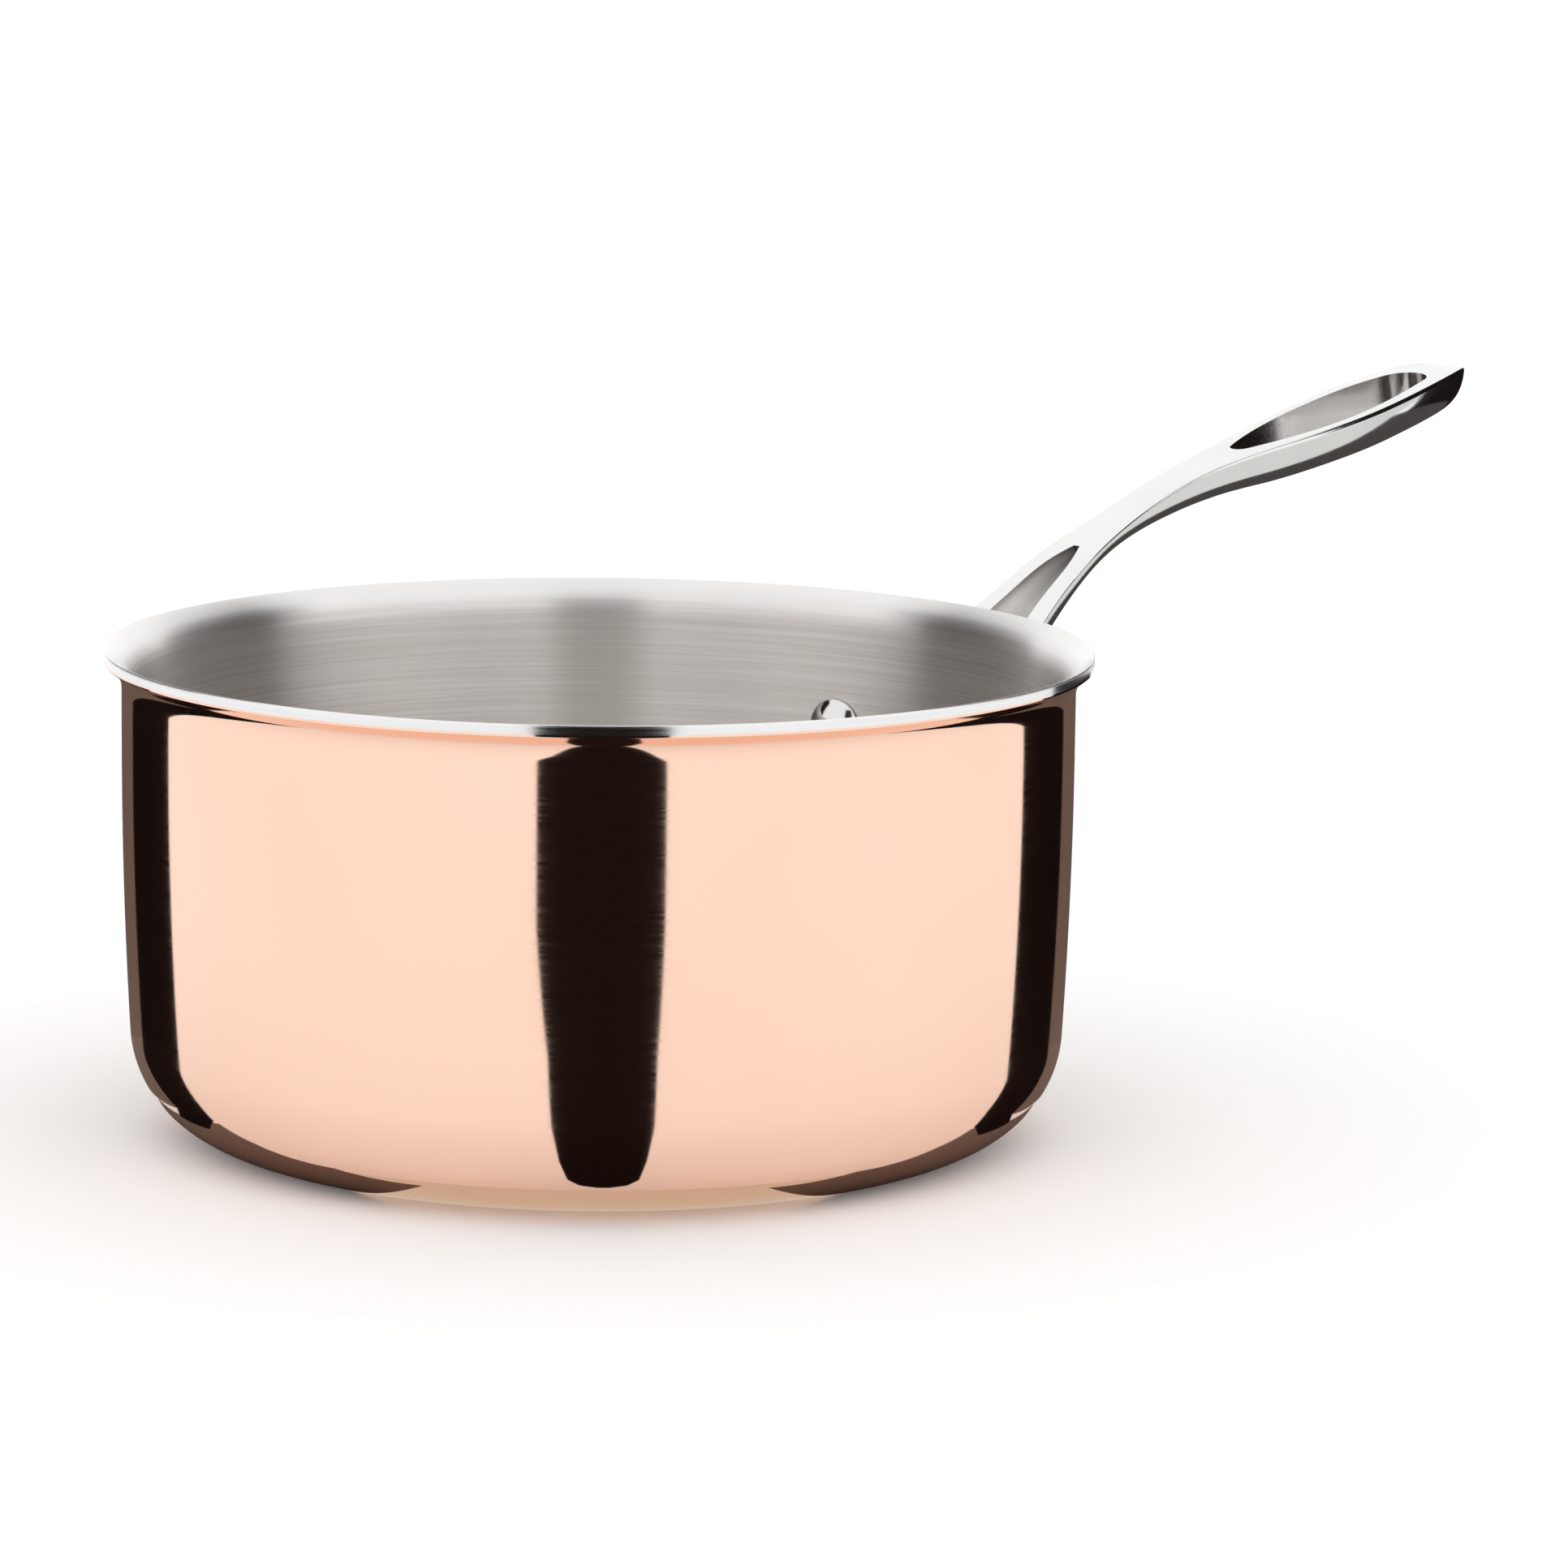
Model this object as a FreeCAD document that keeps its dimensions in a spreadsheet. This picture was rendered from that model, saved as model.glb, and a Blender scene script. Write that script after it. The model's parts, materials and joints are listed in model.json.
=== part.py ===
"""Three-layer copper saucepan with a riveted cast handle.

Millimetres. +Z is up, the origin is the centre of the underside, the handle runs along +X,
and the plane y = 0 mirrors the whole pan.
"""
import FreeCAD, Part
import math
import os

import Sketcher
from FreeCAD import Placement, Rotation, Vector

# Radii of the pan are measured on its steel inner face; drops are measured down from the rim.
DRIVING = {
    "mouth_radius": 100.0,
    "pan_height": 105.6,
    "steel_gauge": 0.6,
    "core_gauge": 1.2,
    "copper_gauge": 0.4,
    "corner_radius": 21.6,
    "wall_arc_radius": 1100.0,
    "land_length": 15.0,
    "bend_radius": 8.0,
    "lip_angle": 53.0,
    "lip_radius": 106.1,
    "rivet_drop": 30.8,
    "rivet_azimuth": 13.4,
    "shank_radius": 3.0,
    "head_radius": 6.2,
    "head_rise": 3.0,
    "head_edge": 0.7,
    "seat_gap": 0.1,
    "tail_radius": 4.8,
    "tail_rise": 2.4,
    "plate_sweep": 37.0,
    "plate_tall": 24.0,
    "plate_gauge": 4.0,
    "plate_corner": 9.0,
    "side_share": 0.65,
    "belly_share": 0.9,
    "scoop_share": 0.8,
    "scoop_lift": 1.0,
    "slot_start": 210.2,
    "slot_rise": 26.9,
    "slot_tilt": 11.5,
    "slot_spacing": 59.5,
    "slot_near_radius": 3.0,
    "slot_far_radius": 6.2,
    "slot_bow_radius": 101.8,
    "slot_depth": 22.0,
    "slot_lift": 3.0,
}

# Cross-sections of the handle: distance from the pan's axis, height of the flat top face
# above the rim, half width of that face, and depth below it.
HANDLE = {
    "root": (103.0, -24.5, 17.0, 16.0),
    "heel": (112.0, -18.0, 15.0, 13.5),
    "fork": (124.0, -9.3, 12.7, 11.2),
    "crotch": (137.0, -0.5, 9.8, 8.8),
    "bend": (150.0, 7.0, 7.8, 6.0),
    "neck": (164.0, 13.1, 6.0, 5.4),
    "waist": (180.0, 19.3, 5.5, 7.0),
    "throat": (200.0, 24.8, 6.8, 8.7),
    "grip": (222.0, 29.1, 10.2, 10.8),
    "swell": (245.0, 33.7, 12.6, 12.1),
    "shoulder": (264.0, 37.9, 11.8, 11.6),
    "end": (277.0, 40.2, 9.4, 10.8),
    "nose": (283.5, 41.0, 7.0, 8.8),
    "tip": (291.6, 40.3, 1.0, 1.2),
}
# Cross-sections of the scoop between the handle's two prongs, in the same four terms.
SCOOP = {
    "scoop_mouth": (107.5, -21.3, 9.6, 6.5),
    "scoop_open": (122.0, -10.7, 7.5, 5.0),
    "scoop_mid": (137.0, -0.5, 4.9, 3.6),
    "scoop_top": (147.0, 5.4, 3.1, 2.5),
    "scoop_end": (152.2, 8.0, 1.3, 1.2),
}
SECTION_TERMS = ("out", "rise", "half", "deep")

# The three bonded layers of the pan from the inside out, and the sheet's name for each gauge.
LAYERS = ("steel_lining", "aluminium_core", "copper_skin")
GAUGES = ("steel_gauge", "core_gauge", "copper_gauge")

START, END, CENTRE = 1, 2, 3
ORIGIN = (-1, 1)
X_AXIS, Y_AXIS = -1, -2

doc = FreeCAD.newDocument("saucepan")


# ---- spreadsheet --------------------------------------------------------------------------
def make_sheet():
    cells = dict(DRIVING)
    for name, values in {**HANDLE, **SCOOP}.items():
        cells.update({f"{name}_{term}": value for term, value in zip(SECTION_TERMS, values)})
    made = doc.addObject("Spreadsheet::Sheet", "sizes")
    for row, (name, value) in enumerate(cells.items(), start=1):
        made.set(f"A{row}", name)
        made.set(f"B{row}", str(value))
        made.setAlias(f"B{row}", name)
    doc.recompute()
    return made


sheet = make_sheet()


def size(name):
    return float(sheet.get(name))


def total(names):
    """Sum of the named cells, as a number."""
    return sum(size(name) for name in names)


def total_of(names):
    """Sum of the named cells, as an expression."""
    return "(" + " + ".join(f"sizes.{name}" for name in names) + ")" if names else "0"


# ---- sketches -----------------------------------------------------------------------------
def origin_plane(body, role):
    return next(plane for plane in body.Origin.OriginFeatures if plane.Role == role)


def new_body(name):
    body = doc.addObject("PartDesign::Body", name)
    body.Label = name
    body.Placement = Placement()
    return body


def sketch_on(body, name, role, turn_axis=Vector(0, 1, 0), turn=0.0):
    sketch = body.newObject("Sketcher::SketchObject", name)
    sketch.AttachmentSupport = [(origin_plane(body, role), "")]
    sketch.MapMode = "FlatFace"
    sketch.AttachmentOffset = Placement(Vector(), Rotation(turn_axis, turn))
    return sketch


def line(sketch, start, end):
    return sketch.addGeometry(Part.LineSegment(Vector(*start, 0), Vector(*end, 0)), False)


def circle(sketch, centre, radius):
    return sketch.addGeometry(Part.Circle(Vector(*centre, 0), Vector(0, 0, 1), radius), False)


def arc(sketch, centre, radius, low, high):
    """Arc that runs counter-clockwise from the angle low to the angle high, in degrees."""
    whole = Part.Circle(Vector(*centre, 0), Vector(0, 0, 1), radius)
    ends = math.radians(low), math.radians(high)
    return sketch.addGeometry(Part.ArcOfCircle(whole, *ends), False)


def rule(sketch, kind, *where):
    sketch.addConstraint(Sketcher.Constraint(kind, *where))


def join(sketch, edges, *joints):
    """Joins edges: each joint is its kind, an edge and its end, and the next edge and its end."""
    for kind, first, leave, after, arrive in joints:
        rule(sketch, kind, edges[first], leave, edges[after], arrive)


def bind(sketch, kind, *where, now, to):
    """Dimension that starts at the value now and follows the expression to."""
    index = sketch.addConstraint(Sketcher.Constraint(kind, *where, now))
    sketch.setExpression(f"Constraints[{index}]", to)


# ---- pan profile --------------------------------------------------------------------------
LIP_RISE = (
    "(sizes.bend_radius * sin(sizes.lip_angle * 1 deg)"
    " + (sizes.lip_radius - sizes.mouth_radius"
    " - sizes.bend_radius * (1 - cos(sizes.lip_angle * 1 deg))) / tan(sizes.lip_angle * 1 deg))"
)


def lip_rise():
    lean = math.radians(size("lip_angle"))
    bent_out = size("bend_radius") * (1 - math.cos(lean))
    straight_out = size("lip_radius") - size("mouth_radius") - bent_out
    return size("bend_radius") * math.sin(lean) + straight_out / math.tan(lean)


def land_ends():
    """Heights of the bottom and top of the straight band under the lip."""
    top = size("pan_height") - lip_rise()
    return top - size("land_length"), top


def pan_face(sketch, offset):
    """Floor, corner, wall, land, bend and lip of one face, offset outwards from the inner one."""
    mouth, corner, wall = size("mouth_radius"), size("corner_radius"), size("wall_arc_radius")
    gauge, lean = total(GAUGES), size("lip_angle")
    land_low, land_high = land_ends()
    corner_height = gauge + corner
    slope = math.asin((land_low - corner_height) / (wall - corner))
    corner_out = mouth - wall + (wall - corner) * math.cos(slope)
    bend = size("bend_radius") - offset
    lip_start = (
        mouth + size("bend_radius") - bend * math.cos(math.radians(lean)),
        land_high + bend * math.sin(math.radians(lean)),
    )
    lip_out = size("lip_radius")
    lip_end = (lip_out, lip_start[1] + (lip_out - lip_start[0]) / math.tan(math.radians(lean)))
    slope = math.degrees(slope)
    edges = [
        line(sketch, (0, gauge - offset), (corner_out, gauge - offset)),
        arc(sketch, (corner_out, corner_height), corner + offset, -90, -slope),
        arc(sketch, (mouth - wall, land_low), wall + offset, -slope, 0),
        line(sketch, (mouth + offset, land_low), (mouth + offset, land_high)),
        arc(sketch, (mouth + size("bend_radius"), land_high), bend, 180 - lean, 180),
        line(sketch, lip_start, lip_end),
    ]
    join(
        sketch,
        edges,
        ("Tangent", 0, END, 1, START),
        ("Tangent", 1, END, 2, START),
        ("Tangent", 2, END, 3, START),
        ("Tangent", 3, END, 4, END),
        ("Tangent", 4, START, 5, START),
    )
    rule(sketch, "Horizontal", edges[0])
    rule(sketch, "Vertical", edges[3])
    return edges, gauge - offset, lip_end


def close_profile(sketch, inner, outer, floors, lips):
    """Joins the inner and outer faces along the axis and across the trimmed lip."""
    trim = line(sketch, lips[0], lips[1])
    axis = line(sketch, (0, floors[1]), (0, floors[0]))
    rule(sketch, "Coincident", inner[5], END, trim, START)
    rule(sketch, "Coincident", outer[5], END, trim, END)
    rule(sketch, "Coincident", axis, START, outer[0], START)
    rule(sketch, "Coincident", axis, END, inner[0], START)
    rule(sketch, "Vertical", trim)
    rule(sketch, "Vertical", axis)
    rule(sketch, "PointOnObject", axis, START, Y_AXIS)
    rule(sketch, "Parallel", inner[5], outer[5])
    for concentric in (1, 2, 4):
        rule(sketch, "Coincident", inner[concentric], CENTRE, outer[concentric], CENTRE)
    return trim


def size_profile(sketch, inner, outer, trim, inside, outside):
    """Ties the profile between the gauges inside and the gauges outside to the sheet."""
    offset, shift = total(inside), total_of(inside)
    land_low, land_high = land_ends()
    whole = total_of(GAUGES)
    bind(sketch, "DistanceY", *ORIGIN, inner[0], START, now=total(GAUGES) - offset, to=f"{whole} - {shift}")
    if outside == GAUGES:
        rule(sketch, "PointOnObject", outer[0], START, X_AXIS)
    else:
        floor = total(GAUGES) - total(outside)
        bind(sketch, "DistanceY", *ORIGIN, outer[0], START, now=floor, to=f"{whole} - {total_of(outside)}")
    for edge, name, sign in ((1, "corner_radius", 1), (2, "wall_arc_radius", 1), (4, "bend_radius", -1)):
        now = size(name) + sign * offset
        bind(sketch, "Radius", inner[edge], now=now, to=f"sizes.{name} + {sign} * {shift}")
    mouth = size("mouth_radius") + offset
    bind(sketch, "DistanceX", *ORIGIN, inner[3], START, now=mouth, to=f"sizes.mouth_radius + {shift}")
    bind(sketch, "DistanceX", *ORIGIN, trim, START, now=size("lip_radius"), to="sizes.lip_radius")
    land = inner[3]
    bind(sketch, "DistanceY", land, START, land, END, now=land_high - land_low, to="sizes.land_length")
    bind(sketch, "DistanceY", *ORIGIN, land, END, now=land_high, to=f"sizes.pan_height - {LIP_RISE}")
    upright = math.radians(90 - size("lip_angle"))
    bind(sketch, "Angle", inner[5], now=upright, to="90 deg - sizes.lip_angle * 1 deg")


def pan_layer(name, inside, outside):
    """One bonded layer of the pan, outside the gauges inside and within the gauges outside."""
    body = new_body(name)
    profile = sketch_on(body, f"{name}_profile", "XZ_Plane")
    inner, inner_floor, inner_lip = pan_face(profile, total(inside))
    outer, outer_floor, outer_lip = pan_face(profile, total(outside))
    trim = close_profile(profile, inner, outer, (inner_floor, outer_floor), (inner_lip, outer_lip))
    size_profile(profile, inner, outer, trim, inside, outside)
    shell = body.newObject("PartDesign::Revolution", f"{name}_shell")
    shell.Profile = profile
    shell.ReferenceAxis = (profile, ["V_Axis"])
    shell.Angle = 360
    doc.recompute()
    drill_rivet_holes(body, name)


# ---- rivet holes --------------------------------------------------------------------------
def drill_rivet_holes(body, name):
    """Two radial holes, one on each side of the mirror plane."""
    sketch = sketch_on(body, f"{name}_hole_sketch", "YZ_Plane", turn=size("rivet_azimuth"))
    sketch.setExpression(".AttachmentOffset.Rotation.Angle", "sizes.rivet_azimuth * 1 deg")
    height = size("pan_height") - size("rivet_drop")
    rim = circle(sketch, (0, height), size("shank_radius"))
    rule(sketch, "PointOnObject", rim, CENTRE, Y_AXIS)
    bind(sketch, "DistanceY", *ORIGIN, rim, CENTRE, now=height, to="sizes.pan_height - sizes.rivet_drop")
    bind(sketch, "Radius", rim, now=size("shank_radius"), to="sizes.shank_radius")
    doc.recompute()
    whole = body.Shape.Volume
    hole = body.newObject("PartDesign::Pocket", f"{name}_hole")
    hole.Profile = sketch
    hole.Type = "ThroughAll"
    hole.Reversed = True
    doc.recompute()
    drilled = body.Shape.Volume
    pair = body.newObject("PartDesign::Mirrored", f"{name}_holes")
    pair.Originals = [hole]
    pair.MirrorPlane = (origin_plane(body, "XZ_Plane"), [""])
    body.Tip = pair
    doc.recompute()
    if not whole > drilled > body.Shape.Volume:
        raise RuntimeError(f"{name}: a rivet hole cuts nothing")


# ---- handle -------------------------------------------------------------------------------
def plate_section(sketch, near, far, low, high):
    """Edges of the rivet plate's section, between two distances out and two heights."""
    land_low = land_ends()[0]
    centre = (size("mouth_radius") - size("wall_arc_radius"), land_low)
    radii = near - centre[0], far - centre[0]
    dips = [math.asin((land_low - low) / radius) for radius in radii]
    feet = [(centre[0] + r * math.cos(dip), low) for r, dip in zip(radii, dips)]
    edges = [
        arc(sketch, centre, radii[0], -math.degrees(dips[0]), 0),
        line(sketch, (near, land_low), (near, high)),
        line(sketch, (near, high), (far, high)),
        line(sketch, (far, high), (far, land_low)),
        arc(sketch, centre, radii[1], -math.degrees(dips[1]), 0),
        line(sketch, feet[1], feet[0]),
    ]
    join(
        sketch,
        edges,
        ("Tangent", 0, END, 1, START),
        ("Coincident", 1, END, 2, START),
        ("Coincident", 2, END, 3, START),
        ("Tangent", 3, END, 4, END),
        ("Coincident", 4, START, 5, START),
        ("Coincident", 5, END, 0, START),
        ("Coincident", 0, CENTRE, 4, CENTRE),
    )
    for upright in (1, 3):
        rule(sketch, "Vertical", edges[upright])
    for level in (2, 5):
        rule(sketch, "Horizontal", edges[level])
    return edges


def plate_profile(body):
    """Section of the plate that follows the pan's outer wall, tied to the sheet."""
    sketch = sketch_on(body, "plate_profile", "XZ_Plane")
    near = size("mouth_radius") + total(GAUGES)
    middle = size("pan_height") - size("rivet_drop")
    low, high = middle - size("plate_tall") / 2, middle + size("plate_tall") / 2
    edges = plate_section(sketch, near, near + size("plate_gauge"), low, high)
    whole = total_of(GAUGES)
    reach = size("wall_arc_radius") + total(GAUGES)
    bind(sketch, "Radius", edges[0], now=reach, to=f"sizes.wall_arc_radius + {whole}")
    bind(sketch, "DistanceX", *ORIGIN, edges[1], START, now=near, to=f"sizes.mouth_radius + {whole}")
    top, gauge = edges[2], size("plate_gauge")
    bind(sketch, "DistanceX", top, START, top, END, now=gauge, to="sizes.plate_gauge")
    height = "sizes.pan_height - sizes.rivet_drop"
    bind(sketch, "DistanceY", *ORIGIN, edges[1], END, now=high, to=f"{height} + sizes.plate_tall / 2")
    bind(sketch, "DistanceY", *ORIGIN, edges[5], END, now=low, to=f"{height} - sizes.plate_tall / 2")
    land_at = f"sizes.pan_height - {LIP_RISE} - sizes.land_length"
    bind(sketch, "DistanceY", *ORIGIN, edges[1], START, now=land_ends()[0], to=land_at)
    return sketch


def rivet_plate(body):
    """Plate bent to the pan's wall, with rounded corners."""
    plate = body.newObject("PartDesign::Revolution", "plate")
    plate.Profile = plate_profile(body)
    plate.ReferenceAxis = (plate.Profile[0], ["V_Axis"])
    plate.Midplane = True
    plate.setExpression("Angle", "sizes.plate_sweep * 1 deg")
    doc.recompute()
    corners = [name for name, edge in named_edges(plate) if edge.Length < 1.01 * size("plate_gauge")]
    fillet(body, plate, "plate_corners", corners, "plate_corner")


def named_edges(feature):
    return [(f"Edge{n}", edge) for n, edge in enumerate(feature.Shape.Edges, start=1)]


def fillet(body, base, name, edges, radius):
    made = body.newObject("PartDesign::Fillet", name)
    made.Base = (base, edges)
    made.setExpression("Radius", f"sizes.{radius}")
    doc.recompute()


def section_outline(sketch, half, low_half, low, deep, raised):
    """Flat top, two leaning sides and a round belly, closed and even about the middle."""
    sag = deep - low
    belly = (low_half**2 + sag**2) / (2 * sag)
    opening = math.degrees(math.atan2(low_half, belly - sag))
    edges = [
        line(sketch, (-half, raised), (half, raised)),
        line(sketch, (half, raised), (low_half, -low)),
        arc(sketch, (0, belly - deep), belly, -90 - opening, -90 + opening),
        line(sketch, (-low_half, -low), (-half, raised)),
    ]
    join(
        sketch,
        edges,
        ("Coincident", 0, END, 1, START),
        ("Coincident", 1, END, 2, END),
        ("Coincident", 2, START, 3, START),
        ("Coincident", 3, END, 0, START),
    )
    for even in (0, 2):
        rule(sketch, "Symmetric", edges[even], START, edges[even], END, Y_AXIS)
    return edges, belly


def section(body, name, share, lift=None):
    """Outline across the handle, or across the scoop when its top is raised by the lift."""
    sketch = sketch_on(body, f"{name}_section", "YZ_Plane")
    sketch.setExpression(".AttachmentOffset.Base.y", f"sizes.pan_height + sizes.{name}_rise")
    sketch.setExpression(".AttachmentOffset.Base.z", f"sizes.{name}_out")
    half, deep, raised = size(f"{name}_half"), size(f"{name}_deep"), size(lift) if lift else 0
    low_half, low = size(share) * half, size("side_share") * deep
    edges, belly = section_outline(sketch, half, low_half, low, deep, raised)
    width, depth = f"sizes.{name}_half", f"sizes.{name}_deep"
    chord, sink = f"(sizes.{share} * {width})", f"((1 - sizes.side_share) * {depth})"
    bind(sketch, "DistanceX", edges[0], START, edges[0], END, now=2 * half, to=f"2 * {width}")
    bind(sketch, "DistanceX", edges[2], START, edges[2], END, now=2 * low_half, to=f"2 * {chord}")
    bind(sketch, "Radius", edges[2], now=belly, to=f"({chord}^2 + {sink}^2) / (2 * {sink})")
    bind(sketch, "DistanceY", edges[1], END, *ORIGIN, now=low, to=f"sizes.side_share * {depth}")
    if lift:
        bind(sketch, "DistanceY", *ORIGIN, edges[0], START, now=raised, to=f"sizes.{lift}")
    else:
        rule(sketch, "PointOnObject", edges[0], START, X_AXIS)
    return sketch


def loft(body, kind, name, sketches):
    made = body.newObject(f"PartDesign::{kind}", name)
    made.Profile = sketches[0]
    made.Sections = [(sketch, [""]) for sketch in sketches[1:]]
    doc.recompute()
    return made


def slot_outline(body):
    """Two end arcs of different radii joined by two long bowed sides, square to the grip."""
    sketch = sketch_on(body, "slot_outline", "XY_Plane", Vector(0, -1, 0), size("slot_tilt"))
    above = "sizes.pan_height + sizes.slot_rise + sizes.slot_lift"
    sketch.setExpression(".AttachmentOffset.Rotation.Angle", "sizes.slot_tilt * 1 deg")
    sketch.setExpression(".AttachmentOffset.Base.x", "sizes.slot_start")
    sketch.setExpression(".AttachmentOffset.Base.z", above)
    near, far, bow = size("slot_near_radius"), size("slot_far_radius"), size("slot_bow_radius")
    run = size("slot_spacing")
    bow_x = (run**2 + (bow - near) ** 2 - (bow - far) ** 2) / (2 * run)
    bow_y = math.sqrt((bow - near) ** 2 - bow_x**2)
    near_turn = math.degrees(math.atan2(bow_y, -bow_x))
    far_turn = math.degrees(math.atan2(bow_y, run - bow_x))
    edges = [
        arc(sketch, (0, 0), near, near_turn, 360 - near_turn),
        arc(sketch, (bow_x, bow_y), bow, -near_turn, -far_turn),
        arc(sketch, (run, 0), far, -far_turn, far_turn),
        arc(sketch, (bow_x, -bow_y), bow, far_turn, near_turn),
    ]
    for edge, after in zip(edges, edges[1:] + edges[:1]):
        rule(sketch, "Tangent", edge, END, after, START)
    rule(sketch, "Coincident", edges[0], CENTRE, *ORIGIN)
    rule(sketch, "PointOnObject", edges[2], CENTRE, X_AXIS)
    rule(sketch, "Equal", edges[1], edges[3])
    bind(sketch, "DistanceX", *ORIGIN, edges[2], CENTRE, now=run, to="sizes.slot_spacing")
    for edge, name in ((0, "slot_near_radius"), (2, "slot_far_radius"), (1, "slot_bow_radius")):
        bind(sketch, "Radius", edges[edge], now=size(name), to=f"sizes.{name}")
    doc.recompute()
    return sketch


def hanging_slot(body):
    """Long slot through the grip, narrow towards the pan and blunt towards the tip."""
    sketch = slot_outline(body)
    solid = body.Shape.Volume
    slot = body.newObject("PartDesign::Pocket", "slot")
    slot.Profile = sketch
    slot.setExpression("Length", "sizes.slot_depth + sizes.slot_lift")
    doc.recompute()
    if not body.Shape.Volume < solid:
        raise RuntimeError("the hanging slot cuts nothing")


def make_handle():
    body = new_body("handle")
    rivet_plate(body)
    loft(body, "AdditiveLoft", "arm", [section(body, name, "belly_share") for name in HANDLE])
    loft(body, "SubtractiveLoft", "scoop", [section(body, n, "scoop_share", "scoop_lift") for n in SCOOP])
    hanging_slot(body)
    drill_rivet_holes(body, "handle")


# ---- rivets -------------------------------------------------------------------------------
def rivet_outline(sketch, seat, foot):
    """Half section of a rivet: domed head up to the seat, shank, and tail from the foot."""
    head, edge, shank, tail = (size(n) for n in ("head_radius", "head_edge", "shank_radius", "tail_radius"))
    dome, bulge = size("head_rise") - edge, size("tail_rise")
    crown = seat - size("head_rise")
    dome_radius, bulge_radius = ((r**2 + h**2) / (2 * h) for r, h in ((head, dome), (tail, bulge)))
    dome_turn = math.degrees(math.asin(head / dome_radius))
    bulge_turn = math.degrees(math.asin(tail / bulge_radius))
    return [
        line(sketch, (foot + bulge, 0), (crown, 0)),
        arc(sketch, (crown + dome_radius, 0), dome_radius, 180 - dome_turn, 180),
        line(sketch, (seat - edge, head), (seat, head)),
        line(sketch, (seat, head), (seat, shank)),
        line(sketch, (seat, shank), (foot, shank)),
        line(sketch, (foot, shank), (foot, tail)),
        arc(sketch, (foot + bulge - bulge_radius, 0), bulge_radius, 0, bulge_turn),
    ]


def close_rivet(sketch, edges):
    """Joins the half section end to end, with both domes centred on the rivet's axis."""
    join(
        sketch,
        edges,
        ("Coincident", 0, END, 1, END),
        ("Coincident", 1, START, 2, START),
        ("Coincident", 2, END, 3, START),
        ("Coincident", 3, END, 4, START),
        ("Coincident", 4, END, 5, START),
        ("Coincident", 5, END, 6, END),
        ("Coincident", 6, START, 0, START),
    )
    for level in (2, 4):
        rule(sketch, "Horizontal", edges[level])
    for upright in (3, 5):
        rule(sketch, "Vertical", edges[upright])
    for edge, point in ((0, START), (0, END), (1, CENTRE), (6, CENTRE)):
        rule(sketch, "PointOnObject", edges[edge], point, X_AXIS)


def rivet_profile(body, name, side):
    """Half section of a rivet on the plane through its own axis, tied to the sheet."""
    sketch = sketch_on(body, f"{name}_profile", "XZ_Plane", Vector(0, side, 0), size("rivet_azimuth"))
    sketch.setExpression(".AttachmentOffset.Rotation.Angle", "sizes.rivet_azimuth * 1 deg")
    sketch.setExpression(".AttachmentOffset.Base.y", "sizes.pan_height - sizes.rivet_drop")
    seat = math.sqrt(size("mouth_radius") ** 2 - size("head_radius") ** 2) - size("seat_gap")
    foot = size("mouth_radius") + total(GAUGES) + size("plate_gauge")
    edges = rivet_outline(sketch, seat, foot)
    close_rivet(sketch, edges)
    seat_at = "sqrt(sizes.mouth_radius^2 - sizes.head_radius^2) - sizes.seat_gap"
    foot_at = f"sizes.mouth_radius + {total_of(GAUGES)} + sizes.plate_gauge"
    bind(sketch, "DistanceX", *ORIGIN, edges[3], START, now=seat, to=seat_at)
    bind(sketch, "DistanceX", *ORIGIN, edges[5], START, now=foot, to=foot_at)
    for first, leave, after, arrive, span in (
        (2, START, 2, END, "head_edge"),
        (0, END, 3, START, "head_rise"),
        (5, START, 0, START, "tail_rise"),
    ):
        ends = (edges[first], leave, edges[after], arrive)
        bind(sketch, "DistanceX", *ends, now=size(span), to=f"sizes.{span}")
    for edge, radius in ((2, "head_radius"), (3, "shank_radius"), (5, "tail_radius")):
        bind(sketch, "DistanceY", *ORIGIN, edges[edge], END, now=size(radius), to=f"sizes.{radius}")
    return sketch


def make_rivet(name, side):
    """Rivet with a domed head inside the pan and a lower formed head on the plate."""
    body = new_body(name)
    turned = body.newObject("PartDesign::Revolution", f"{name}_solid")
    turned.Profile = rivet_profile(body, name, side)
    turned.ReferenceAxis = (turned.Profile[0], ["H_Axis"])
    turned.Angle = 360


# ---- assembly and export ------------------------------------------------------------------
def check_document():
    for item in doc.Objects:
        if "Invalid" in item.State or "Error" in item.State:
            raise RuntimeError(f"{item.Name} failed: {item.State}")


def write_parts():
    os.makedirs("parts", exist_ok=True)
    bodies = [item for item in doc.Objects if item.TypeId == "PartDesign::Body"]
    for body in bodies:
        if body.Shape.isNull() or not body.Shape.isValid() or len(body.Shape.Solids) != 1:
            raise RuntimeError(f"{body.Label} is not one valid solid")
    for body in bodies:
        body.Shape.exportStep(f"parts/{body.Label}.step")
        box = body.Shape.BoundBox
        print(f"{body.Label}: {body.Shape.Volume:.0f} mm3, z {box.ZMin:.2f} to {box.ZMax:.2f}")


for index, layer_name in enumerate(LAYERS):
    pan_layer(layer_name, GAUGES[:index], GAUGES[: index + 1])
make_handle()
make_rivet("rivet_left", 1)
make_rivet("rivet_right", -1)
doc.recompute()
check_document()
write_parts()
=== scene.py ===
"""Looks of the copper saucepan: metres, +Z up, the handle along +X, the pan standing on z = 0."""

import json
import math

import bmesh
import bpy
import numpy as np
from mathutils import Matrix, Vector


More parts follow.
